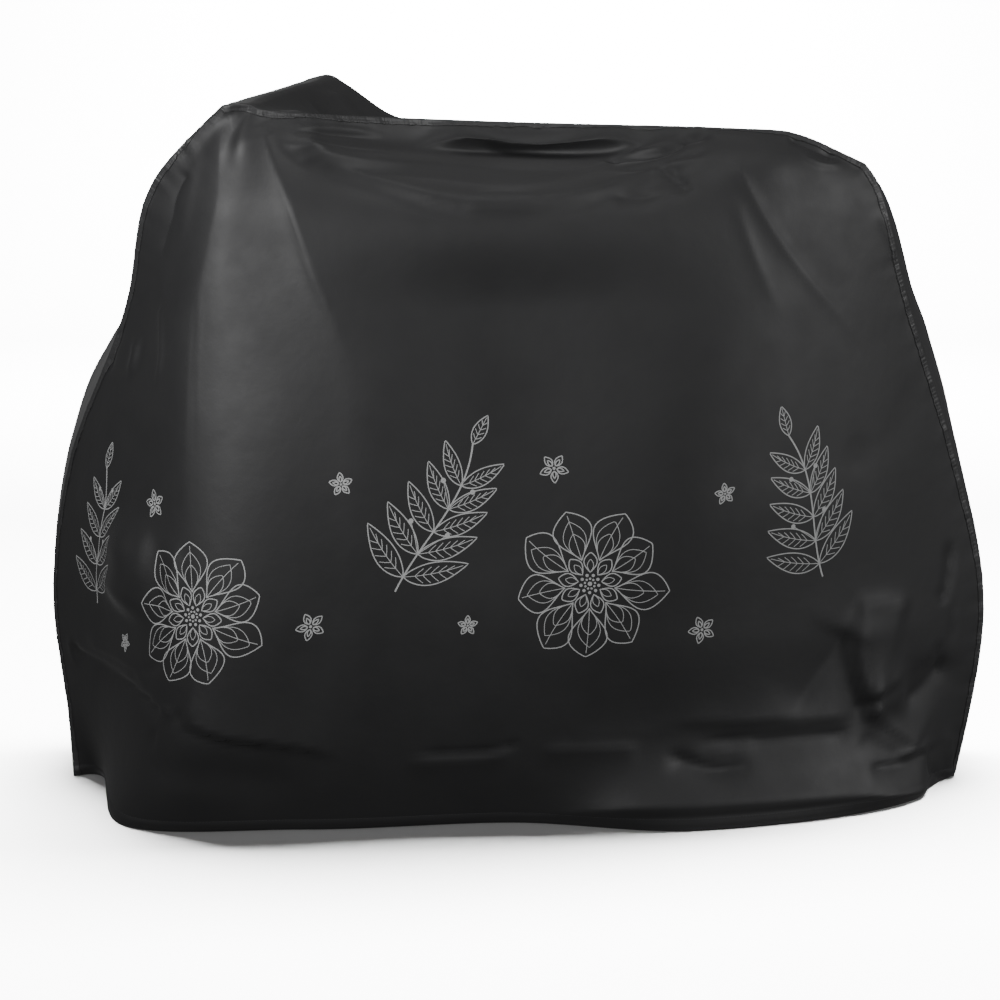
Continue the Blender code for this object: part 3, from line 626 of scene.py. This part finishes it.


# Seam laps. Where the strip is sewn to a side panel, its edge is turned over the panel by a
# finger's width and stitched down, so a narrow puckered band of film runs along each seam.
# The lap's film is coloured lighter than the panels' film, as a painted highlight along each seam.
LAP_STEP = 0.0020  # from one section of the lap to the next
LAP_WIDTH = 0.0125
LapPoint = namedtuple("LapPoint", "across lift")
lap_section = [LapPoint(*row) for row in (
    (-0.5, 0.2), (0.1, 1.5), (2.0, 2.2), (5.2, 1.6),
    (8.2, 1.1), (10.8, 1.7), (12.4, 1.3), (12.8, 0.1),
)]
lap_waves = (Wave(0.5, math.tau / 0.0073, 0), Wave(0.35, math.tau / 0.0112, 1.1),
             Wave(0.30, math.tau / 0.0181, 2.3), Wave(0.25, math.tau / 0.0347, 0.7))


def outer_face(grid):
    """A panel's outer face as a tree that gives the nearest place on it."""
    _, quads = numbered(*grid.shape[:2])
    return BVHTree.FromPolygons(grid.reshape(-1, 3).tolist(), quads.tolist())


def between_knots(places, knots, values):
    """Rows of values at the given places on straight lines between the knots."""
    return np.stack([np.interp(places, knots, column) for column in np.transpose(values)], axis=-1)


def averaged(vectors, span):
    """Unit vectors along a line, each the mean of those within the span round it."""
    weight = np.hanning(2 * span + 1)
    spread = np.pad(vectors, ((span - 1, span - 1), (0, 0)), mode="edge")
    means = [np.convolve(column, weight[1:-1], "valid") for column in spread.T]
    return unit(np.stack(means, axis=1))


def seam_frame(panel, side):
    """Places along a panel's seam: their run, points, and unit steps out of and into the panel."""
    places = seam_places(panel)
    lengths = run_along(panel[places])
    run = np.linspace(0, lengths[-1], round(lengths[-1] / LAP_STEP) + 1)
    line = between_knots(run, lengths, panel[places])
    normal = averaged(between_knots(run, lengths, outward(panel, side)[places]), 5)
    ahead = averaged(np.gradient(line, axis=0), 5)
    return run, line, normal, unit(side * np.cross(ahead, normal))


def on_face(tree, points, side_hint):
    """The nearest places on a face, and its smoothed normals there, on the side of the hint."""
    found = [tree.find_nearest(Vector(point))[:2] for point in points]
    places, normals = (np.array(values) for values in zip(*found))
    normals = normals * np.sign((normals * side_hint).sum(axis=1, keepdims=True))
    return places, averaged(normals, 4)


def lap_rows(panel, side, wander=0.05, swell=0.35, on_panel=0.0015):
    """The lap's points, [place along the seam, point of its section], and the run of each."""
    run, line, normal, inwards = seam_frame(panel, side)
    tree = outer_face(panel)
    wave = uneven(run, lap_waves)[:, None]
    drift = uneven(run * 0.37 + 2.0, lap_waves)[:, None]  # slower than the wave, out of step
    rows = []
    for across, lift in np.array(lap_section) / MM:
        foot, up = line + across * (1 + wander * drift) * inwards, normal
        if across > on_panel:
            foot, up = on_face(tree, foot, normal)
        hump = swell * wave * math.sin(math.pi * min(max(across / LAP_WIDTH, 0), 1))
        rows.append(foot + lift * (1 + hump) * up)
    rows = np.stack(rows, axis=1)
    rows[..., 2] = np.maximum(rows[..., 2], 0)
    return rows, run


def tube_faces(rows, points):
    """Quads round a closed section that is carried along, with its two ends capped."""
    place, _ = numbered(rows, points)
    after = np.roll(place, -1, axis=1)
    quads = np.stack([place[:-1], after[:-1], after[1:], place[1:]], axis=2)
    return quads.reshape(-1, 4).tolist() + [place[0, ::-1].tolist(), place[-1].tolist()]


def make_lap(name, panel, side, material):
    rows, run = lap_rows(panel, side)
    piece = make_mesh(name, rows.reshape(-1, 3), tube_faces(*rows.shape[:2]), material, side)
    store(piece, "seam_run", np.repeat(run, rows.shape[1]))
    dress(piece, "film")
    return piece


# Painted highlight: the lap is the panels' black film in a tone about twice as light.
lap_film_painted_highlight = film_material(
    "black film at a seam lap, lightened as painted highlight", (0.024, 0.024, 0.025), (0.040, 0.040, 0.041), 0.50)
near_lap = make_lap("near_seam_lap", near, NEAR_SIDE, lap_film_painted_highlight)
far_lap = make_lap("far_seam_lap", far, FAR_SIDE, lap_film_painted_highlight)


# Stitches. One row of dark thread holds each lap down, and another the turned hem of every
# sheet. They are short runs of thread at an even pitch that sink a little into the film.
LAP_STITCH = 0.0082  # the lap's row, from the seam
STITCH = dict(Pitch=0.0056, Length=0.0042, Width=0.00075)


def hem_line(grid, side):
    """The hem's row of stitches on a sheet's outer face, and the normals there."""
    columns = np.concatenate([grid, outward(grid, side)], axis=2).transpose(1, 0, 2)
    found = np.array([between_knots(HEM_STITCH, column[:, 2], column) for column in columns])
    return found[:, :3], unit(found[:, 3:])


def strip_hem_line(grid, columns):
    """The same on one end of the strip, whose grid runs from hem to hem."""
    part = grid[:, columns].transpose(1, 0, 2)
    line, normal = hem_line(part, NEAR_SIDE)
    inside = part.reshape(-1, 3).mean(axis=0) * (0.2, 1, 1)
    return line, normal * np.sign(((line - inside) * normal).sum(axis=1, keepdims=True))


def lap_line(panel, side, lowest=0.004, lift=0.0012):
    """The row of stitches along a lap, on top of it."""
    _, line, normal, inwards = seam_frame(panel, side)
    line, inwards, normal = (values[line[:, 2] > lowest] for values in (line, inwards, normal))
    foot, up = on_face(outer_face(panel), line + LAP_STITCH * inwards, normal)
    return foot + lift * up, up


def guide(lines, raised):
    """A mesh of plain lines, each point with the way that the cloth faces there."""
    points = np.concatenate([line + raised * normal for line, normal in lines])
    starts = np.cumsum([0] + [len(line) for line, _ in lines])
    edges = [(i, i + 1) for a, b in zip(starts, starts[1:]) for i in range(a, b - 1)]
    mesh = bpy.data.meshes.new("stitch guide")
    mesh.from_pydata(points.tolist(), edges, [])
    facing = mesh.attributes.new("cloth_faces", "FLOAT_VECTOR", "POINT")
    normals = np.concatenate([normal for _, normal in lines])
    facing.data.foreach_set("vector", normals.ravel().astype(np.float32))
    return placed("stitch guide", mesh)


def stitch_tree():
    """Stitches of one size at an even pitch along a guide, laid along it and flat on the cloth."""
    tree = bpy.data.node_groups.new("stitches along a line", "GeometryNodeTree")
    sockets = {}
    for name, kind in (("Guide", "Geometry"), ("Pitch", "Float"), ("Length", "Float"),
                       ("Width", "Float"), ("Thread", "Material")):
        sockets[name] = tree.interface.new_socket(
            name, in_out="INPUT", socket_type="NodeSocket" + kind)
    tree.interface.new_socket("Stitches", in_out="OUTPUT", socket_type="NodeSocketGeometry")
    given = tree.nodes.new("NodeGroupInput").outputs

    def step(kind, result, inputs=(), **settings):
        return new_node(tree, kind, inputs, **settings)[result]

    curve = step("GeometryNodeMeshToCurve", "Curve", {"Mesh": given["Guide"]})
    spaced = step("GeometryNodeResampleCurve", "Curve",
                  {"Curve": curve, "Length": given["Pitch"]}, mode="LENGTH")
    bead = step("GeometryNodeMeshUVSphere", "Mesh", {"Segments": 6, "Rings": 4, "Radius": 0.5})
    sizes = step("ShaderNodeCombineXYZ", "Vector",
                 {"X": given["Length"], "Y": given["Width"], "Z": given["Width"]})
    shaped = step("GeometryNodeTransform", "Geometry", {"Geometry": bead, "Scale": sizes})

    ahead = step("GeometryNodeInputTangent", "Tangent")
    faces = step("GeometryNodeInputNamedAttribute", "Attribute",
                 {"Name": "cloth_faces"}, data_type="FLOAT_VECTOR")
    along = step("FunctionNodeAlignRotationToVector", "Rotation", {"Vector": ahead}, axis="X")
    flat = step("FunctionNodeAlignRotationToVector", "Rotation",
                {"Rotation": along, "Vector": faces}, axis="Z", pivot_axis="X")

    laid = step("GeometryNodeInstanceOnPoints", "Instances",
                {"Points": spaced, "Instance": shaped, "Rotation": flat})
    real = step("GeometryNodeRealizeInstances", "Geometry", {"Geometry": laid})
    soft = step("GeometryNodeSetShadeSmooth", "Geometry", {"Geometry": real})
    dyed = step("GeometryNodeSetMaterial", "Geometry",
                {"Geometry": soft, "Material": given["Thread"]})
    new_node(tree, "NodeGroupOutput", {"Stitches": dyed})
    return tree, sockets


def sew(name, lines, raised, material):
    """A row of stitches along each line, as one plain mesh."""
    tree, sockets = stitch_tree()
    line_piece = guide(lines, raised)
    sewing = line_piece.modifiers.new("stitches", "NODES")
    sewing.node_group = tree
    for title, value in dict(STITCH, Thread=material).items():
        sewing[sockets[title].identifier] = value
    graph = bpy.context.evaluated_depsgraph_get()
    mesh = bpy.data.meshes.new_from_object(line_piece.evaluated_get(graph))
    line_piece.modifiers.remove(sewing)
    bpy.data.objects.remove(line_piece)
    piece = placed(name, mesh)
    dress(piece, "thread")
    return piece


def speckled_material(name, dark, light, scale, detail, **numbers):
    """A dull stuff in two tones of one colour."""
    material, tree, finish = plain_material(name, **numbers)
    where = new_node(tree, "ShaderNodeTexCoord")["Object"]
    mottle(tree, finish, noise(tree, where, scale, detail), dark, light)
    return material


thread = speckled_material(
    "dark polyester thread", (0.030, 0.030, 0.032), (0.085, 0.085, 0.09), 1500, 2, Roughness=0.7)
third = strip.shape[1] // 3  # of the strip's run, from either hem
hem_lines = [hem_line(near, NEAR_SIDE), hem_line(far, FAR_SIDE)]
hem_lines += [strip_hem_line(strip, slice(0, third)), strip_hem_line(strip, slice(-1, -third, -1))]
lap_lines = [lap_line(near, NEAR_SIDE), lap_line(far, FAR_SIDE)]
seam_stitches = sew("seam_stitches", lap_lines, 0.0, thread)
hem_stitches = sew("hem_stitches", hem_lines, 0.0001, thread)


# Print. Round blossoms and leafy twigs are screen printed on both side panels in one light
# grey ink before they are sewn, in a loose double row at mid height, with small flowers
# between them. The ink is a thin dull layer that follows each fold of the film.
INK_LIFT = 0.00035
INK_STEP, INK_STEPS = 0.00002, 7  # small steps in height keep crossing lines apart
LINE = dict(heavy=0.0030, medium=0.0020, fine=0.0013)
PEN_STEP = 0.004  # longest piece of a printed line
Stroke = namedtuple("Stroke", "points width closed")


def turned(points, angle, place=(0, 0)):
    """Flat points turned to the left by the angle, then moved to the place."""
    cosine, sine = math.cos(angle), math.sin(angle)
    return np.asarray(points) @ np.array(((cosine, sine), (-sine, cosine))) + place


def moved(strokes, angle, place):
    return [stroke._replace(points=turned(stroke.points, angle, place)) for stroke in strokes]


def spine(length, bow, share):
    """Points on the bowed middle line of a leaf that stands on the origin."""
    return np.stack([bow * share**2, length * share], axis=-1)


def petal(length, width, line="medium", belly=0.85, bow=0.0):
    """The outline of a pointed leaf or petal, from foot to tip and back."""
    share = np.linspace(0, 1, 15)
    half_width = width / 2 * np.sin(math.pi * share**belly) ** 0.9
    aside = np.stack([half_width, 0 * share], axis=1)
    left, right = spine(length, bow, share) - aside, spine(length, bow, share) + aside
    return Stroke(np.concatenate([left, right[-2:0:-1]]), LINE[line], True)


def stalk(foot, tip, sag):
    return Stroke(np.array((foot, (foot + tip) / 2 + sag, tip)), LINE["fine"], False)


def leaf(length, width, bow=0.0, veins=4, belly=0.85):
    """A leaf with its outline, its midrib and slanting side veins."""
    midrib = spine(length, bow, np.linspace(0, 0.92, 8))
    strokes = [petal(length, width, "medium", belly, bow), Stroke(midrib, LINE["fine"], False)]
    for start in np.linspace(0.18, 0.66, veins):
        foot = spine(length, bow, start)
        reach = width / 2 * math.sin(math.pi * (start + 0.12) ** belly) * 0.72
        for hand in (-1, 1):
            strokes.append(stalk(foot, foot + (hand * reach, length * 0.13), (0, -0.0008)))
    return strokes


def dot(radius, place):
    """A small filled spot: a ring drawn as wide as it is round."""
    turn = np.linspace(0, math.tau, 9, endpoint=False)
    ring = radius / 2 * np.stack([np.cos(turn), np.sin(turn)], axis=1)
    return Stroke(ring + place, radius, True)


def blossom(radius, petals, lean):
    """An open flower: two rounds of petals with lines in them, and a heart of spots."""
    strokes = []
    for number in range(petals):
        angle = lean + math.tau * number / petals
        between = angle + math.pi / petals
        length = radius * (0.66 + 0.05 * math.sin(number * 2.4))
        outer = leaf(length, radius * 0.50, 0.10 * radius * math.sin(number * 1.7), 0, 1.35)
        outer += [petal(length * part, radius * 0.36 * part, "fine", 1.2) for part in (0.80, 0.55)]
        inner = [petal(radius * 0.26, radius * 0.17, "medium", 1.1),
                 petal(radius * 0.17, radius * 0.08, "fine", 1.1)]
        strokes += moved(outer, angle, turned((0, radius * 0.32), angle))
        strokes += moved(inner, between, turned((0, radius * 0.15), between))
        strokes.append(dot(radius * 0.022, turned((0, radius * 0.115), angle)))
        strokes.append(dot(radius * 0.016, turned((0, radius * 0.065), between)))
    strokes.append(dot(radius * 0.03, (0, 0)))
    return strokes


def twig(height, pairs, lean):
    """A bowed stem with leaves in pairs, a leaf at its tip and berries on short stalks."""
    share = np.linspace(0, 1, 30)
    bend = 0.16 * height * np.sin(share * 2.6) * share
    stem = np.stack([bend, height * (share - 0.45)], axis=1)
    strokes = [Stroke(stem, LINE["heavy"], False)]
    for number in range(pairs):
        at = 0.10 + 0.80 * number / pairs
        foot = between_knots(at, share, stem)
        size = height * (0.42 - 0.17 * at)
        for hand in (-1, 1):
            angle = hand * (1.20 - 0.42 * at)
            strokes += moved(leaf(size, size * 0.34, hand * size * 0.16, 5), angle, foot)
            if number % 2:
                berry = foot + turned((0, size * 0.56), angle * 0.35 + hand * 0.25)
                strokes += [stalk(foot, berry, (0.001 * hand, 0)), dot(height * 0.017, berry)]
    strokes += moved(leaf(height * 0.20, height * 0.085), -0.12, stem[-1])
    return moved(strokes, lean, (0, 0))


def small_flower(radius, lean):
    """Five little petals round a spot."""
    strokes = []
    for number in range(5):
        angle = lean + math.tau * number / 5
        petals = [petal(radius, radius * 0.6), petal(radius * 0.62, radius * 0.28)]
        strokes += moved(petals, angle, turned((0, radius * 0.25), angle))
    return strokes + [dot(radius * 0.14, (0, 0))]


def ribbon(stroke):
    """A printed line as flat quads: its two edges and the faces between them."""
    points = np.asarray(stroke.points, float)
    if stroke.closed:
        points = np.vstack([points, points[:1]])
    lengths = run_along(points)
    spaced = np.linspace(0, lengths[-1], max(int(lengths[-1] / PEN_STEP), len(points)) + 1)
    line = between_knots(spaced, lengths, points)
    if stroke.closed:
        line = line[:-1]
        ahead = np.roll(line, -1, axis=0) - np.roll(line, 1, axis=0)
    else:
        ahead = np.gradient(line, axis=0)
    ahead /= np.maximum(np.linalg.norm(ahead, axis=1, keepdims=True), 1e-9)
    left = np.stack([-ahead[:, 1], ahead[:, 0]], axis=1) * stroke.width / 2
    place = np.arange(len(line))
    after = np.roll(place, -1) if stroke.closed else place + 1
    faces = np.stack([place + len(line), after + len(line), after, place], axis=1)
    return np.vstack([line + left, line - left]), faces if stroke.closed else faces[:-1]


def on_sheet(grid, side, along, up, points):
    """Where flat points round a spot, so far along a panel and up it, lie on its outer face."""
    rows, columns = grid.shape[:2]
    heights, runs = run_along(grid, 0), run_along(grid, 1)
    level = np.searchsorted(heights[:, columns // 2], up)
    order = np.arange(columns)
    middle = np.interp(along, runs[level], order)
    column_heights = np.array([np.interp(middle, order, row) for row in heights])
    row = np.interp(up + points[:, 1], column_heights, np.arange(rows))
    row = np.clip(row, 0, rows - 1.001)
    low, column = row.astype(int), np.zeros(len(points))
    for floor_row in np.unique(low):
        here = low == floor_row
        share = row[here] - floor_row
        for weight, line in ((1 - share, runs[floor_row]), (share, runs[floor_row + 1])):
            place = points[here, 0] + np.interp(middle, order, line)
            column[here] += weight * np.interp(place, line, order)
    left = np.minimum(column.astype(int), columns - 2)
    v, u = (row - low)[:, None], (column - left)[:, None]

    def between(values):
        lower = values[low, left] * (1 - u) + values[low, left + 1] * u
        upper = values[low + 1, left] * (1 - u) + values[low + 1, left + 1] * u
        return lower * (1 - v) + upper * v

    return between(grid), unit(between(outward(grid, side)))


# The figures of one panel, by turns low and high: how far each is along its panel from the
# front seam, and up from the hem.
Figure = namedtuple("Figure", "along up strokes")
figures = [Figure(*row) for row in (
    (0.165, 0.500, twig(0.250, 4, 0.10)),
    (0.500, 0.430, blossom(0.128, 9, 0.10)),
    (0.835, 0.560, twig(0.275, 5, -0.42)),
    (1.165, 0.445, blossom(0.132, 9, 0.35)),
    (1.500, 0.555, twig(0.265, 5, 0.38)),
    (0.330, 0.610, small_flower(0.020, 0.3)),
    (0.300, 0.345, small_flower(0.014, 0.9)),
    (0.650, 0.640, small_flower(0.016, 0.1)),
    (0.700, 0.400, small_flower(0.020, 0.5)),
    (0.960, 0.385, small_flower(0.014, 0.0)),
    (1.010, 0.640, small_flower(0.020, 0.7)),
    (1.320, 0.615, small_flower(0.015, 0.2)),
    (1.360, 0.375, small_flower(0.020, 0.4)),
)]


def printed(name, grid, side, material):
    """All figures of one panel as one thin layer of ink."""
    points, faces, count = [], [], 0
    for figure in figures:
        for number, stroke in enumerate(figure.strokes):
            flat, quads = ribbon(stroke)
            place, normal = on_sheet(grid, side, figure.along, figure.up, flat)
            points.append(place + (INK_LIFT + INK_STEP * (number % INK_STEPS)) * normal)
            faces.append(quads + count)
            count += len(flat)
    piece = make_mesh(name, np.concatenate(points), np.concatenate(faces), material, side)
    dress(piece, "print")
    return piece


ink = speckled_material(
    "light grey ink", (0.40, 0.405, 0.405), (0.62, 0.625, 0.625), 260, 4,
    Roughness=0.62, Specular_IOR_Level=0.3)
near_print = printed("near_print", near, NEAR_SIDE, ink)
far_print = printed("far_print", far, FAR_SIDE, ink)


# Floor and backdrop. A plain sweep of white paper that the hem stands on, and a round lit
# wall outside it that closes the views from the sides and from behind.
FLOOR_GAP = 0.0006


def white_paper(name, lower, upper, glow):
    """White paper between two lines of points."""
    white = dict(Base_Color=(0.93, 0.93, 0.93, 1), Emission_Color=(1, 1, 1, 1))
    paper, _, _ = plain_material(name, Roughness=0.95, Emission_Strength=glow, **white)
    _, quads = numbered(2, len(lower))
    return make_mesh(name, lower + upper, quads, paper, FAR_SIDE)


def sweep(front=-12.0, back=5.5, half_width=12.0, radius=1.8, height=7.0):
    """The two long edges of a sheet that lies flat, bends up and stands."""
    turns = np.linspace(0, math.pi / 2, 17)
    bend = [(back + radius * math.sin(turn), radius * (1 - math.cos(turn))) for turn in turns]
    profile = [(front, 0.0)] + bend + [(back + radius, height)]
    return ([(side * half_width, y, z - FLOOR_GAP) for y, z in profile] for side in (-1, 1))


def round_wall(radius=11.0, height=9.0, panels=48):
    """The lower and the upper edge of a round wall."""
    turns = np.linspace(0, math.tau, panels + 1)
    circle = [(radius * math.cos(turn), radius * math.sin(turn)) for turn in turns]
    return ([(x, y, z) for x, y in circle] for z in (-0.02, height))


floor = white_paper("stage_floor", *sweep(), 0.05)
room_wall = white_paper("stage_wall", *round_wall(), 3.0)
room_wall.visible_shadow = False
for part in (floor, room_wall):
    part.visible_glossy = False
    part.visible_diffuse = False
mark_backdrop(floor, room_wall)


# Light. A small soft box stands close to the near grip, a large one far to the right with a
# weak low one beside it, and a wide one hangs above the cover. The others light only the
# far panel, the strip or the paper, as their rows say.
Box = namedtuple("Box", "name lights place aim width height power")
boxes = [Box(*row) for row in (
    ("left_box", "cover", (-1.16, -1.62, 1.35), (-0.4, 0, 1.85), 0.7, 0.7, 29.5),
    ("right_box", "cover", (5.8, -1.65, 3.8), (0.4, 0, 0.7), 1.2, 1.8, 133),
    ("low_box", "cover", (2.8, -2.0, 0.4), (0.7, 0, 0.2), 0.6, 0.6, 12.1),
    ("top_box", "cover", (0, -0.25, 4.2), (0, 0, 0.7), 2.6, 1.6, 22.1),
    ("rear_box", "far side", (1.4, 3.6, 1.9), (0.1, 0.2, 0.6), 1.6, 1.4, 90),
    ("rear_low_box", "far side", (-2.6, 3.0, 1.2), (-0.2, 0.2, 0.6), 1.0, 1.4, 60),
    ("front_box", "strip", (-4.4, 0.3, 1.8), (-0.6, 0.1, 0.6), 1.2, 1.4, 60),
    ("floor_box", "paper", (0.4, 0.78, 5.0), (0.4, 0.781, 0), 4.3, 1.9, 4300),
    ("backdrop_box", "paper", (0, 3.5, 3.6), (0, 7.3, 2.4), 4.0, 2.0, 3600),
)]
lit_parts = {
    "cover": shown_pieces(),
    "far side": [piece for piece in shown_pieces() if piece.name.startswith("far")],
    "strip": [gusset_strip],
    "paper": [floor],
}
lit = {title: bpy.data.collections.new("lit " + title) for title in lit_parts}
for title, parts in lit_parts.items():
    for part in parts:
        lit[title].objects.link(part)
for box in boxes:
    lamp = placed(box.name, bpy.data.lights.new(box.name, "AREA"))
    lamp.data.shape = "RECTANGLE"
    lamp.data.size, lamp.data.size_y, lamp.data.energy = box.width, box.height, box.power
    lamp.location = box.place
    lamp.rotation_euler = (Vector(box.aim) - lamp.location).to_track_quat("-Z", "Y").to_euler()
    lamp.visible_camera = False
    lamp.light_linking.receiver_collection = lit[box.lights]

ROOM_LIGHT = 0.100
room = bpy.data.worlds.new("room")
room.use_nodes = True
background = room.node_tree.nodes["Background"].inputs
background["Color"].default_value = (1, 1, 1, 1)
background["Strength"].default_value = ROOM_LIGHT
bpy.context.scene.world = room
